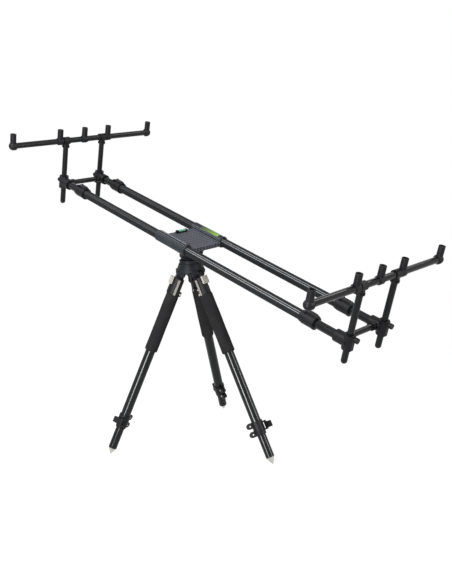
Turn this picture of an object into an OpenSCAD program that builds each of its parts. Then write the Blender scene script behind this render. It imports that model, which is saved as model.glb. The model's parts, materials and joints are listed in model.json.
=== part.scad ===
// Rod pod for bank fishing: a tripod with a pan and tilt head carries two
// telescopic rails, and a height-adjustable bar with five rod-rest sockets stands
// at each end. Millimetres, +Z up. The origin is on the ground under the head's
// turning axis, and +X is the end that tips down towards the water.

/* [Tripod] */
// Height of the leg hinges above the ground
hinge_z = 507; // [420:1:600]
// Distance of the leg hinges from the turning axis
hinge_r = 29; // [28:0.5:36]
// Spread of the two front legs from the vertical, in degrees
front_spread = 26.3; // [20:0.1:32]
// Spread of the back leg from the vertical, in degrees
back_spread = 21.4; // [18:0.1:30]
// Outer diameter of the upper leg tubes
leg_d = 28; // [26:0.5:30]
// Wall of the upper leg tubes
leg_wall = 1.5; // [1.2:0.1:2.2]
// Distance from the hinge to the lower end of the upper leg tube
leg_tube_end = 462; // [400:1:480]
// Wall of the lower leg tubes
lower_wall = 1.6; // [1.2:0.1:2.5]
// Length of a lower leg tube
lower_len = 300; // [220:1:340]
// Length of the foot spikes' cones
spike_len = 20; // [14:0.5:26]
// Radius of the blunt end of a spike
spike_tip_r = 1; // [0.6:0.1:2]
// Outer diameter of the foam grips
foam_d = 37; // [36:0.5:40]
// Distance from the hinge to the top of a foam grip
foam_start = 62; // [58:1:80]
// Length of a foam grip
foam_len = 175; // [120:1:220]

/* [Crown and head] */
// Height of the crown's top above the leg hinges
crown_rise = 29; // [26:0.5:36]
// Diameter of the crown's top face
crown_top_d = 64; // [62:0.5:72]
// Diameter of the crown's skirt at its lower rim
crown_skirt_d = 86; // [84:0.5:92]
// Diameter of the leg hinge bolts
hinge_bolt_d = 8; // [6:0.5:9]
// Width of a leg's tongue between the crown's ears
tongue_w = 16; // [14:0.5:18]
// Diameter of the turning head's disc
head_disc_d = 60; // [56:0.5:62]
// Thickness of the turning head's disc
head_disc_t = 10; // [8:0.5:14]
// Height of the tilt bolt above the head's disc
tilt_bolt_rise = 16.3; // [16:0.1:22]
// Diameter of the tilt bolt and of the pan stud
head_bolt_d = 8; // [6:0.5:9]
// Width of the head's tilt lug
lug_w = 40; // [36:0.5:44]
// Diameter of the tilt lock knob
tilt_knob_d = 26; // [22:0.5:28]
// Diameter of the pan lock knob
pan_knob_d = 18; // [14:0.5:20]

/* [Platform] */
// Tilt of the rails with the front end down, in degrees
tilt_angle = 16.8; // [0:0.1:30]
// Height of the rail axes above the tilt bolt
rail_lift = 45; // [44:0.5:60]
// Length of the rail channels
channel_len = 120; // [110:1:160]
// Distance of the plate's rear edge ahead of the channels' rear ends
plate_inset = 10; // [0:0.5:12]
// Drop of the plate's front lip below its underside
lip_drop = 6; // [3:0.5:8]
// Thickness of the platform plate
plate_t = 6; // [4:0.5:8]
// Outer diameter of the rail channels
channel_d = 31; // [30.5:0.5:34]
// Wall of the tilt cradle's cheeks, webs and flange
cradle_wall = 5; // [4:0.5:7]
// Length of the spirit level's holder
level_len = 38; // [30:1:50]
// Diameter of the spirit level's vial
vial_d = 6.5; // [5.5:0.5:8]

/* [Rails] */
// Distance between the rail axes
gauge = 135; // [120:1:150]
// Outer diameter of the rails
rail_d = 25.5; // [24:0.5:27]
// Wall of the rails
rail_wall = 1.4; // [1.2:0.1:2.2]
// Length of a rail
rail_len = 944; // [900:1:1100]
// Distance of the rails' middle ahead of the platform's middle
rail_shift = 33; // [-60:1:60]
// Number of flutes round a rail
flute_count = 16; // [12:1:24]
// Width of a flute
flute_w = 1.6; // [0.8:0.1:1.8]
// Length of a rail collar
collar_len = 46; // [42:1:60]
// Outer diameter of a rail collar
collar_d = 33; // [32:0.5:35]
// Length of a rail inside its collar
collar_grip = 34; // [28:1:36]
// Width of the collars' cam levers
lever_w = 14; // [12:0.5:16]

/* [End frames] */
// Wall of the extension tubes
ext_wall = 1.5; // [1:0.1:2.2]
// Length of an extension tube
ext_len = 300; // [260:1:380]
// Distance from the rear end of the rails to the rear uprights
rear_reach = 88; // [84:1:160]
// Distance from the front end of the rails to the front uprights
front_reach = 108; // [84:1:160]
// Diameter of the tie bars
tie_d = 15.5; // [13:0.5:16]
// Distance from the uprights' axes in to the tie bar's
tie_offset = 16; // [14:0.5:22]
// Size of an end block across its flats
block_w = 27; // [26:0.5:30]
// Height of an end block
block_h = 38; // [34:0.5:44]
// Diameter of the thumb screws' shafts
thumb_screw_d = 5; // [4:0.5:6]
// Diameter of the thumb screws' heads
thumb_head_d = 14; // [12:0.5:17]
// Height of the rear thumb screws above the rail axes
rear_thumb_lift = 0; // [-8:0.5:12]
// Height of the front thumb screws above the rail axes
front_thumb_lift = 12; // [-8:0.5:12]

/* [Bars] */
// Diameter of the uprights
upright_d = 16; // [14:0.5:17]
// Height of the rear bar above the rail axes
rear_bar_lift = 131.5; // [110:0.5:180]
// Height of the front bar above the rail axes
front_bar_lift = 141; // [110:0.5:180]
// Length of the rear uprights below the rail axes
rear_tail = 72; // [60:1:90]
// Length of the front uprights below the rail axes
front_tail = 58; // [45:1:90]
// Diameter of the bars
bar_d = 17; // [15:0.5:18]
// Distance between the two end sockets of a bar
bar_span = 500; // [420:1:600]
// Distance from a bar's middle to its inner sockets
inner_socket_y = 89; // [89:0.5:120]
// Outer diameter of the socket posts
post_d = 17.5; // [17:0.5:19]
// Height of the socket posts' tops above the bar's axis
post_h = 35.7; // [32:0.1:45]
// Diameter of the threaded bores for rod rests
thread_d = 8.4; // [7:0.1:9]
// Depth of the threaded bores, with their counterbores
thread_depth = 20; // [16:0.5:22]

/* [Fits] */
// Clearance all round a sliding tube
slide_gap = 0.3; // [0.2:0.05:0.4]
// Clearance all round a turning pin
run_gap = 0.05; // [0.02:0.01:0.1]
// Clearance all round a piece that is fixed in its seat
seat_gap = 0.05; // [0.02:0.01:0.1]
// Gap between the flat faces of pieces that move past each other
face_gap = 0.3; // [0.2:0.05:0.5]

/* [Hidden] */
$fn = 64;

near = -1;
far = 1;
rear = -1;
front = 1;
sides = [near, far];
back_leg = 0;
left_leg = 1;
right_leg = 2;
legs = [back_leg, left_leg, right_leg];
tube_black = "#2b2d30";
moulded_black = "#333539";
foam_black = "#26282c";
bright_steel = "#c4c4c0";
tab_grey = "#b3aaa0";
plate_slate = "#4d5159";
vial_green = "#4fa878";

// The three legs stand 120 degrees apart, the back one first
leg_turn = [120, 240, 0];
leg_spread = [back_spread, front_spread, front_spread];
// Each leg clamp is turned on its tube by the same angle
clamp_turn = 44;
// How far each clamp lever stands open, in degrees
clamp_open = [0, 0, 35];

crown_top_z = hinge_z + crown_rise;
head_z = crown_top_z + face_gap;
head_top_z = head_z + head_disc_t;
pivot_z = head_top_z + tilt_bolt_rise;

// Crown
ear_t = 8;
ear_r = hinge_bolt_d / 2 + 6.5;
tongue_r = ear_r + 0.5;
crown_core_d = 34;
crown_floor_z = hinge_z - 3;
skirt_z = hinge_z + 3;
clevis_w = tongue_w + 2 * face_gap;
ear_out_y = clevis_w / 2 + ear_t;
bolt_head_t = 4;
bolt_head_d = hinge_bolt_d + 5;

// Legs, measured down the leg from its hinge
leg_bore = leg_d - 2 * leg_wall;
lower_d = leg_bore - 2 * slide_gap;
cap_start = ear_r + 3.5;
cap_len = foam_start - cap_start - face_gap;
cap_end = cap_start + cap_len;
cap_d = leg_d + 5;
cap_top_t = 16;
leg_tube_start = cap_start + cap_top_t;
clamp_len = 40;
clamp_overlap = 22;
clamp_start = leg_tube_end - clamp_overlap;
clamp_end = clamp_start + clamp_len;
clamp_d = leg_d + 5;
clamp_taper = 14;
clamp_lobe_len = 16;
clamp_lobe_w = 14;
clamp_lobe_reach = clamp_d / 2 + 15;
clamp_split = 2;
clamp_pin_d = 4;
clamp_pin_x = clamp_d / 2 + 4.5;
clamp_pin_y = 9;
clamp_lever_h = 17;
clamp_lever_s = clamp_start + 19;
clamp_paddle_t = 6;
clamp_paddle_l = 24;
clamp_knuckle_t = 4;
clamp_knuckle_r = 4;
spike_plug_len = 15;

// Leg angle tabs, which slide down a guide on the outside of the shoulder
tab_w = 20;
tab_len = 22;
tab_start = 13;
tab_t = 6;
guide_w = 10;
guide_x = cap_d / 2 - 2.5;
guide_rise = 3.5;
tab_back_x = cap_d / 2 + face_gap;
tab_front_x = tab_back_x + tab_t;

// Head
lug_r = 15;
cheek_gap_y = lug_w / 2 + face_gap;
cheek_out_y = cheek_gap_y + cradle_wall;
cheek_r = 12;
cheek_foot_half = 22;
tilt_head_t = 6;
tilt_head_d = head_bolt_d + 6;
tilt_knob_t = 16;
tilt_knob_bore = 13;
tilt_thread_end_y = cheek_out_y + tilt_knob_bore;
pan_knob_top_z = crown_floor_z - face_gap;
pan_knob_h = 18;
pan_collar_d = pan_knob_d + 4;
pan_collar_h = 5;
pan_stud_top_z = head_top_z - 2;

// Platform, in the tilted frame whose origin is the tilt bolt
channel_r = channel_d / 2;
lip_t = 4;
plate_rear_x = -channel_len / 2 + plate_inset;
plate_front_x = channel_len / 2 + face_gap + lip_t;
ledge_w = 10;
ledge_t = 6;
plate_top = rail_lift + 4;
plate_under = plate_top - plate_t;
plate_half_w = gauge / 2 - channel_r - 0.2;
ledge_in_y = gauge / 2 - channel_r - ledge_w;
flange_half_w = ledge_in_y - face_gap;
flange_half_l = channel_len / 2 - 14;
flange_under = plate_under - cradle_wall;
cheek_top_half = flange_half_l - 4;
web_x = flange_half_l - cradle_wall - 2;
web_drop = 9;
window_inset = 8;
level_x = plate_rear_x + 7;
level_w = vial_d + 2;
level_base_t = 1.5;
level_cap_len = 6;
level_cap_h = level_base_t + vial_d * 0.8;
level_axis_z = plate_top + level_base_t + vial_d / 2;
channel_bore = rail_d + 2 * slide_gap;

// Rails and collars
rail_bore = rail_d - 2 * rail_wall;
flute_depth = 0.5;
rail_rear_x = rail_shift - rail_len / 2;
rail_front_x = rail_shift + rail_len / 2;
ext_d = rail_bore - 2 * slide_gap;
rear_x = rail_rear_x - rear_reach;
front_x = rail_front_x + front_reach;
collar_taper = 10;
collar_nose_d = rail_d + 3.4;
collar_ring_len = 5;
collar_ring_d = collar_d + 1.5;
lever_pin_d = 2.6;
lever_pin_x = 11;
lever_eye_r = 2.8;
lever_floor_z = rail_d / 2 + 1.4;
lever_rest_z = lever_floor_z + face_gap;
lever_pin_z = lever_rest_z + lever_eye_r;
lever_ear_t = 3;
lever_ear_r = lever_eye_r + 0.6;
lever_ear_y = lever_w / 2 + face_gap;
lever_flat_w = lever_w + face_gap;
lever_arm_t = 5;

// End blocks and bars
sleeve_d = ext_d + 9;
sleeve_end = 36;
ext_seat = upright_d / 2 + 3.5;
tie_socket_d = tie_d + 5;
tie_socket_len = 13;
boss_d = thumb_screw_d + 7;
boss_end = block_w / 2 + 3;
thumb_head_t = 8;
upright_bore = upright_d + 2 * slide_gap;
upright_wall = 1.5;
bar_wall = 1.5;
tee_d = bar_d + 6;
tee_half_l = 10.6;
tee_stem_d = upright_d + 4;
tee_stem_drop = 20;
tee_ring_h = 5;
tee_ring_d = tee_stem_d + 3;
socket_sleeve_d = bar_d + 6;
socket_half_l = inner_socket_y - gauge / 2 - tee_half_l - 0.2;
socket_shoulder = 4;
end_cap_d = bar_d + 8;
counterbore_d = thread_d + 2.6;
counterbore_depth = 2.5;

// Frames that pieces are placed in

module tilted() {
    translate([0, 0, pivot_z])
        rotate([0, tilt_angle, 0])
            children();
}

module on_rails() {
    tilted()
        translate([0, 0, rail_lift])
            children();
}

// Down a leg: the hinge is at the origin, the leg runs along -Z and +X points out
module on_leg(leg) {
    rotate([0, 0, leg_turn[leg]])
        translate([hinge_r, 0, hinge_z])
            rotate([0, -leg_spread[leg], 0])
                children();
}

// An end frame's upright axis, with +X towards the rails and +Y away to the far side
module at_upright(end, side) {
    on_rails()
        translate([end == rear ? rear_x : front_x, side * gauge / 2, 0])
            mirror([end == front ? 1 : 0, 0, 0])
                mirror([0, side == far ? 1 : 0, 0])
                    children();
}

module at_collar(end, side) {
    on_rails()
        translate([end == rear ? rail_rear_x + collar_grip - collar_len : rail_front_x - collar_grip,
                   side * gauge / 2, 0])
            children();
}

module along_x(from, to, d) {
    translate([from, 0, 0])
        rotate([0, 90, 0])
            cylinder(h = to - from, d = d);
}

module along_y(from, to, d) {
    translate([0, from, 0])
        rotate([-90, 0, 0])
            cylinder(h = to - from, d = d);
}

// From a distance down a leg to another
module down_leg(from, to, d) {
    translate([0, 0, -to])
        cylinder(h = to - from, d = d);
}

// Distance from a hinge to the end of its spike, so that the spike stands on the ground
function leg_reach(leg) =
    (hinge_z - spike_tip_r * sin(leg_spread[leg])) / cos(leg_spread[leg]);

// Tripod crown and head

module tripod_crown() {
    color(moulded_black)
        difference() {
            union() {
                translate([0, 0, skirt_z])
                    cylinder(h = crown_top_z - skirt_z, d1 = crown_skirt_d, d2 = crown_top_d);
                translate([0, 0, crown_floor_z])
                    cylinder(h = crown_top_z - crown_floor_z, d = crown_core_d);
                for (leg = legs) rotate([0, 0, leg_turn[leg]]) clevis_ears();
            }
            for (leg = legs) rotate([0, 0, leg_turn[leg]]) clevis_slot();
            translate([0, 0, crown_floor_z - 1])
                cylinder(h = crown_top_z - crown_floor_z + 2, d = head_bolt_d + 2 * run_gap);
        }
}

module clevis_ears() {
    translate([hinge_r, 0, hinge_z]) {
        along_y(-ear_out_y, ear_out_y, 2 * ear_r);
        translate([-ear_r, -ear_out_y, 0])
            cube([2 * ear_r, 2 * ear_out_y, tongue_r + 3]);
    }
}

module clevis_slot() {
    slot_in = hinge_r - tongue_r - 0.6;
    slot_h = hinge_z + tongue_r + 0.6 - (crown_floor_z - ear_r);
    translate([slot_in, -clevis_w / 2, crown_floor_z - ear_r])
        cube([crown_skirt_d, clevis_w, slot_h]);
    translate([hinge_r, 0, hinge_z]) {
        along_y(-crown_skirt_d, crown_skirt_d, hinge_bolt_d + 2 * seat_gap);
        along_y(ear_out_y, crown_skirt_d, bolt_head_d + 2);
        along_y(-crown_skirt_d, -ear_out_y, bolt_head_d + 2);
    }
}

module leg_pivot_bolts() {
    color(bright_steel)
        for (leg = legs)
            rotate([0, 0, leg_turn[leg]])
                translate([hinge_r, 0, hinge_z]) {
                    along_y(-ear_out_y, ear_out_y, hinge_bolt_d);
                    along_y(ear_out_y, ear_out_y + bolt_head_t, bolt_head_d);
                    rotate([90, 0, 0])
                        translate([0, 0, ear_out_y])
                            cylinder(h = bolt_head_t, d = bolt_head_d, $fn = 6);
                }
}

module pan_lock_knob() {
    knob_low_z = pan_knob_top_z - pan_knob_h;
    color(moulded_black) {
        translate([0, 0, knob_low_z])
            cylinder(h = pan_stud_top_z - knob_low_z, d = head_bolt_d);
        translate([0, 0, pan_knob_top_z - pan_collar_h])
            cylinder(h = pan_collar_h, d = pan_collar_d);
        translate([0, 0, knob_low_z])
            cylinder(h = pan_knob_h, d = pan_knob_d);
        translate([0, 0, knob_low_z])
            intersection() {
                sphere(d = pan_knob_d);
                translate([0, 0, -pan_knob_d / 2])
                    cylinder(h = pan_knob_d / 2, d = pan_knob_d);
            }
    }
}

module pan_head() {
    color(moulded_black)
        difference() {
            union() {
                translate([0, 0, head_z])
                    cylinder(h = head_disc_t, d = head_disc_d);
                translate([-lug_r, -lug_w / 2, head_top_z])
                    cube([2 * lug_r, lug_w, tilt_bolt_rise]);
                translate([0, 0, pivot_z])
                    along_y(-lug_w / 2, lug_w / 2, 2 * lug_r);
            }
            translate([0, 0, head_z - 1])
                cylinder(h = pan_stud_top_z - head_z + 1 + face_gap, d = head_bolt_d + 2 * run_gap);
            translate([0, 0, pivot_z])
                along_y(-lug_w, lug_w, head_bolt_d + 2 * seat_gap);
        }
}

module tilt_bolt() {
    head_y = cheek_out_y + face_gap;
    color(bright_steel)
        translate([0, 0, pivot_z]) {
            along_y(-head_y, tilt_thread_end_y, head_bolt_d);
            along_y(-head_y - tilt_head_t, -head_y, tilt_head_d);
        }
}

module tilt_lock_knob() {
    knob_y = cheek_out_y + face_gap;
    lobes = 6;
    color(moulded_black)
        translate([0, 0, pivot_z])
            difference() {
                along_y(knob_y, knob_y + tilt_knob_t, tilt_knob_d);
                along_y(knob_y - 1, tilt_thread_end_y + face_gap, head_bolt_d + 2 * run_gap);
                for (i = [0 : lobes - 1])
                    rotate([0, i * 360 / lobes, 0])
                        translate([tilt_knob_d / 2 + 2, 0, 0])
                            along_y(knob_y + 4, knob_y + tilt_knob_t + 1, 8);
            }
}

// Platform

module tilt_cradle() {
    color(moulded_black)
        tilted() {
            difference() {
                union() {
                    for (side = sides)
                        translate([0, side == far ? cheek_out_y : -cheek_gap_y, 0])
                            rotate([90, 0, 0])
                                linear_extrude(cradle_wall) cheek_outline();
                    translate([-flange_half_l, -flange_half_w, flange_under])
                        cube([2 * flange_half_l, 2 * flange_half_w, cradle_wall]);
                    for (x = [-web_x - cradle_wall, web_x])
                        translate([x, 0, flange_under])
                            rotate([90, 0, 90])
                                linear_extrude(cradle_wall) web_outline();
                }
                along_y(-2 * cheek_out_y, 2 * cheek_out_y, head_bolt_d + 2 * run_gap);
            }
        }
}

// One cheek: an eye round the bolt and two arms that open towards the plate
module cheek_outline() {
    difference() {
        union() {
            circle(r = cheek_r);
            polygon([[-cheek_foot_half, 0], [cheek_foot_half, 0],
                     [cheek_top_half, flange_under], [-cheek_top_half, flange_under]]);
        }
        polygon([[0, cheek_r + 2],
                 [cheek_top_half - 2 * window_inset, flange_under - window_inset / 2],
                 [-cheek_top_half + 2 * window_inset, flange_under - window_inset / 2]]);
    }
}

// A web under the flange's end that carries the load out towards the rails
module web_outline() {
    polygon([[-flange_half_w, 0], [-cheek_out_y, -web_drop], [cheek_out_y, -web_drop], [flange_half_w, 0]]);
}

// A flat sheet that turns down at its front edge
module platform_plate() {
    color(plate_slate)
        tilted() {
            translate([plate_rear_x, -plate_half_w, plate_under])
                cube([plate_front_x - plate_rear_x, 2 * plate_half_w, plate_t]);
            translate([plate_front_x - lip_t, -plate_half_w, plate_under - lip_drop])
                cube([lip_t, 2 * plate_half_w, lip_drop + plate_t]);
        }
}

// A channel wraps its rail and has an inner ledge that the plate lies on
module rail_channels() {
    color(moulded_black)
        for (side = sides)
            tilted()
                translate([-channel_len / 2, side * gauge / 2, rail_lift])
                    mirror([0, side == far ? 1 : 0, 0])
                        difference() {
                            union() {
                                along_x(0, channel_len, channel_d);
                                translate([0, 0, plate_under - rail_lift - ledge_t])
                                    cube([channel_len, channel_r + ledge_w, ledge_t]);
                            }
                            along_x(-1, channel_len + 1, channel_bore);
                        }
}

module level_holder() {
    color(moulded_black)
        tilted()
            translate([level_x, 0, plate_top]) {
                translate([-level_w / 2, -level_len / 2, 0])
                    cube([level_w, level_len, level_base_t]);
                for (y = [-level_len / 2, level_len / 2 - level_cap_len])
                    translate([-level_w / 2, y, 0])
                        cube([level_w, level_cap_len, level_cap_h]);
            }
}

module level_vial() {
    color(vial_green, 0.8)
        tilted()
            translate([level_x, 0, level_axis_z])
                along_y(-level_len / 2 + level_cap_len, level_len / 2 - level_cap_len, vial_d);
}

// Rails, collars and levers

module rail(side) {
    color(tube_black)
        on_rails()
            translate([rail_rear_x, side * gauge / 2, 0])
                rotate([0, 90, 0])
                    linear_extrude(rail_len)
                        difference() {
                            circle(d = rail_d);
                            circle(d = rail_bore);
                            for (i = [0 : flute_count - 1])
                                rotate((i + 0.5) * 360 / flute_count)
                                    translate([rail_d / 2 + flute_w / 2 - flute_depth, 0])
                                        circle(d = flute_w, $fn = 16);
                        }
}

module near_rail() {
    rail(near);
}

module far_rail() {
    rail(far);
}

module rail_collars() {
    color(moulded_black)
        for (end = [rear, front], side = sides) at_collar(end, side) collar(end);
}

module collar(end) {
    rail_from = end == rear ? collar_len - collar_grip : -1;
    rail_to = end == rear ? collar_len + 1 : collar_grip;
    difference() {
        union() {
            rotate([0, 90, 0])
                cylinder(h = collar_taper, d1 = collar_nose_d, d2 = collar_d);
            along_x(collar_taper, collar_len - collar_ring_len, collar_d);
            along_x(collar_len - collar_ring_len, collar_len, collar_ring_d);
            for (y = [-lever_ear_y - lever_ear_t, lever_ear_y])
                translate([lever_pin_x, y, 0]) lever_ear();
        }
        along_x(-1, collar_len + 1, ext_d + 2 * slide_gap);
        along_x(rail_from, rail_to, rail_d + 2 * seat_gap);
        translate([lever_pin_x, 0, lever_pin_z])
            along_y(-collar_d, collar_d, lever_pin_d + 2 * run_gap);
        translate([lever_pin_x - lever_eye_r - 1, -lever_flat_w / 2, lever_floor_z])
            cube([collar_len, lever_flat_w, collar_d]);
    }
}

module lever_ear() {
    foot_z = rail_d / 2 - 1;
    translate([0, 0, lever_pin_z])
        along_y(0, lever_ear_t, 2 * lever_ear_r);
    translate([-lever_ear_r, 0, foot_z])
        cube([2 * lever_ear_r, lever_ear_t, lever_pin_z - foot_z]);
}

// A cam lever with its pin: a low arm that lies on a flat along the collar
module cam_lever(end, side) {
    color(moulded_black)
        at_collar(end, side) {
            translate([lever_pin_x, 0, lever_pin_z]) {
                along_y(-lever_w / 2, lever_w / 2, 2 * lever_eye_r);
                along_y(-lever_ear_y - lever_ear_t, lever_ear_y + lever_ear_t, lever_pin_d);
            }
            translate([0, lever_w / 2, 0])
                rotate([90, 0, 0])
                    linear_extrude(lever_w)
                        polygon([[lever_pin_x, lever_rest_z + 0.2],
                                 [collar_len, lever_rest_z],
                                 [collar_len, lever_rest_z + 0.6 * lever_arm_t],
                                 [collar_len - 8, lever_rest_z + lever_arm_t + 0.5],
                                 [collar_len / 2, lever_rest_z + lever_arm_t + 1],
                                 [lever_pin_x, lever_pin_z + lever_eye_r - 0.1]]);
        }
}

module rear_near_lever() {
    cam_lever(rear, near);
}

module rear_far_lever() {
    cam_lever(rear, far);
}

module front_near_lever() {
    cam_lever(front, near);
}

module front_far_lever() {
    cam_lever(front, far);
}

// End frames

module extension_tubes(end) {
    color(tube_black)
        for (side = sides)
            at_upright(end, side)
                difference() {
                    along_x(ext_seat, ext_seat + ext_len, ext_d);
                    along_x(ext_seat - 1, ext_seat + ext_len + 1, ext_d - 2 * ext_wall);
                }
}

module end_blocks(end) {
    color(moulded_black)
        for (side = sides) at_upright(end, side) end_block(end);
}

function thumb_lift(end) = end == rear ? rear_thumb_lift : front_thumb_lift;

// A block grips an upright, an extension tube and the tie bar, and carries a thumb screw
module end_block(end) {
    difference() {
        union() {
            translate([0, 0, -block_h / 2])
                rotate([0, 0, 22.5])
                    cylinder(h = block_h, d = block_w / cos(22.5), $fn = 8);
            along_x(0, sleeve_end, sleeve_d);
            translate([tie_offset, 0, 0])
                along_y(block_w / 4, block_w / 2 + tie_socket_len, tie_socket_d);
            translate([0, 0, thumb_lift(end)])
                along_x(-boss_end, -block_w / 4, boss_d);
        }
        translate([0, 0, -block_h])
            cylinder(h = 2 * block_h, d = upright_bore);
        along_x(ext_seat, sleeve_end + 1, ext_d + 2 * seat_gap);
        translate([tie_offset, 0, 0])
            along_y(block_w / 2, block_w + tie_socket_len, tie_d + 2 * seat_gap);
        translate([0, 0, thumb_lift(end)])
            along_x(-boss_end - 1, 0, thumb_screw_d + 2 * run_gap);
    }
}

module tie_bar(end) {
    tie_half_l = gauge / 2 - block_w / 2;
    color(tube_black)
        on_rails()
            translate([end == rear ? rear_x + tie_offset : front_x - tie_offset, 0, 0])
                along_y(-tie_half_l, tie_half_l, tie_d);
}

module thumb_screw(end, side) {
    head_start = boss_end + face_gap;
    color(moulded_black)
        at_upright(end, side)
            translate([0, 0, thumb_lift(end)]) {
                along_x(-head_start - thumb_head_t / 2, -upright_bore / 2, thumb_screw_d);
                translate([-head_start - thumb_head_t, 0, 0])
                    rotate([0, 90, 0])
                        cylinder(h = thumb_head_t, d = thumb_head_d, $fn = 10);
            }
}

module rear_extension_tubes() {
    extension_tubes(rear);
}

module rear_end_blocks() {
    end_blocks(rear);
}

module rear_tie_bar() {
    tie_bar(rear);
}

module front_extension_tubes() {
    extension_tubes(front);
}

module front_end_blocks() {
    end_blocks(front);
}

module front_tie_bar() {
    tie_bar(front);
}

module rear_near_thumb_screw() {
    thumb_screw(rear, near);
}

module rear_far_thumb_screw() {
    thumb_screw(rear, far);
}

module front_near_thumb_screw() {
    thumb_screw(front, near);
}

module front_far_thumb_screw() {
    thumb_screw(front, far);
}

// Bars on their uprights

function bar_lift(end) = end == rear ? rear_bar_lift : front_bar_lift;
function tail(end) = end == rear ? rear_tail : front_tail;

// Tubes with a domed plug at the lower end
module uprights(end) {
    top_z = bar_lift(end) - bar_d / 2 - seat_gap;
    low_z = -tail(end) + upright_d / 2;
    color(tube_black)
        for (side = sides)
            at_upright(end, side)
                difference() {
                    union() {
                        translate([0, 0, low_z])
                            cylinder(h = top_z - low_z, d = upright_d);
                        translate([0, 0, low_z])
                            sphere(d = upright_d);
                    }
                    translate([0, 0, low_z])
                        cylinder(h = top_z - low_z + 1, d = upright_d - 2 * upright_wall);
                }
}

module on_bar(end) {
    on_rails()
        translate([end == rear ? rear_x : front_x, 0, bar_lift(end)])
            children();
}

module bar(end) {
    color(tube_black)
        on_bar(end)
            difference() {
                along_y(-bar_span / 2, bar_span / 2, bar_d);
                along_y(-bar_span, bar_span, bar_d - 2 * bar_wall);
            }
}

module bar_tees(end) {
    color(moulded_black)
        on_bar(end)
            for (side = sides)
                translate([0, side * gauge / 2, 0])
                    difference() {
                        union() {
                            along_y(-tee_half_l, tee_half_l, tee_d);
                            translate([0, 0, -tee_stem_drop])
                                cylinder(h = tee_stem_drop, d = tee_stem_d);
                            translate([0, 0, -tee_stem_drop])
                                cylinder(h = tee_ring_h, d = tee_ring_d);
                        }
                        along_y(-tee_d, tee_d, bar_d + 2 * seat_gap);
                        translate([0, 0, -tee_stem_drop - 1])
                            cylinder(h = tee_stem_drop + 1, d = upright_d + 2 * seat_gap);
                    }
}

module rod_sockets(end) {
    color(moulded_black)
        on_bar(end) {
            for (y = [-inner_socket_y, 0, inner_socket_y])
                translate([0, y, 0]) inner_socket();
            for (side = sides)
                translate([0, side * bar_span / 2, 0])
                    mirror([0, side == far ? 1 : 0, 0]) end_socket();
        }
}

// A post with a threaded bore, on a sleeve with tapered shoulders
module inner_socket() {
    difference() {
        union() {
            along_y(-socket_half_l + socket_shoulder, socket_half_l - socket_shoulder, socket_sleeve_d);
            for (turn = [-90, 90])
                rotate([turn, 0, 0])
                    translate([0, 0, socket_half_l - socket_shoulder])
                        cylinder(h = socket_shoulder, d1 = socket_sleeve_d, d2 = bar_d + 2);
            cylinder(h = post_h, d = post_d);
        }
        along_y(-bar_span, bar_span, bar_d + 2 * seat_gap);
        thread_bore();
    }
}

// The same post on a rounded cap that closes the end of the bar
module end_socket() {
    difference() {
        union() {
            along_y(0, socket_half_l - socket_shoulder, end_cap_d);
            translate([0, socket_half_l - socket_shoulder, 0])
                rotate([-90, 0, 0])
                    cylinder(h = socket_shoulder, d1 = end_cap_d, d2 = bar_d + 2);
            sphere(d = end_cap_d);
            cylinder(h = post_h, d = post_d);
        }
        along_y(0, bar_span, bar_d + 2 * seat_gap);
        thread_bore();
    }
}

module thread_bore() {
    translate([0, 0, post_h - thread_depth])
        cylinder(h = thread_depth + 1, d = thread_d);
    translate([0, 0, post_h - counterbore_depth])
        cylinder(h = counterbore_depth + 1, d = counterbore_d);
}

module rear_uprights() {
    uprights(rear);
}

module rear_bar() {
    bar(rear);
}

module rear_bar_tees() {
    bar_tees(rear);
}

module rear_rod_sockets() {
    rod_sockets(rear);
}

module front_uprights() {
    uprights(front);
}

module front_bar() {
    bar(front);
}

module front_bar_tees() {
    bar_tees(front);
}

module front_rod_sockets() {
    rod_sockets(front);
}

// Legs

// The casting at the top of a leg: a tongue on the hinge and a cap that the tube sits in
module leg_shoulder(leg) {
    color(moulded_black)
        on_leg(leg)
            difference() {
                union() {
                    along_y(-tongue_w / 2, tongue_w / 2, 2 * tongue_r);
                    translate([-tongue_r, -tongue_w / 2, -cap_start - 1])
                        cube([2 * tongue_r, tongue_w, cap_start + 1]);
                    down_leg(cap_start, cap_end, cap_d);
                    translate([0, -guide_w / 2, -cap_end])
                        cube([guide_x + guide_rise + 2, guide_w, cap_len]);
                }
                along_y(-tongue_w, tongue_w, hinge_bolt_d + 2 * run_gap);
                down_leg(leg_tube_start, cap_end + 1, leg_d + 2 * seat_gap);
            }
}

module leg_tube(leg) {
    color(tube_black)
        on_leg(leg)
            difference() {
                down_leg(leg_tube_start, leg_tube_end, leg_d);
                down_leg(leg_tube_start - 1, leg_tube_end + 1, leg_bore);
            }
}

module foam_grip(leg) {
    color(foam_black)
        on_leg(leg)
            difference() {
                down_leg(foam_start, foam_start + foam_len, foam_d);
                down_leg(foam_start - 1, foam_start + foam_len + 1, leg_d + 2 * seat_gap);
            }
}

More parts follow.
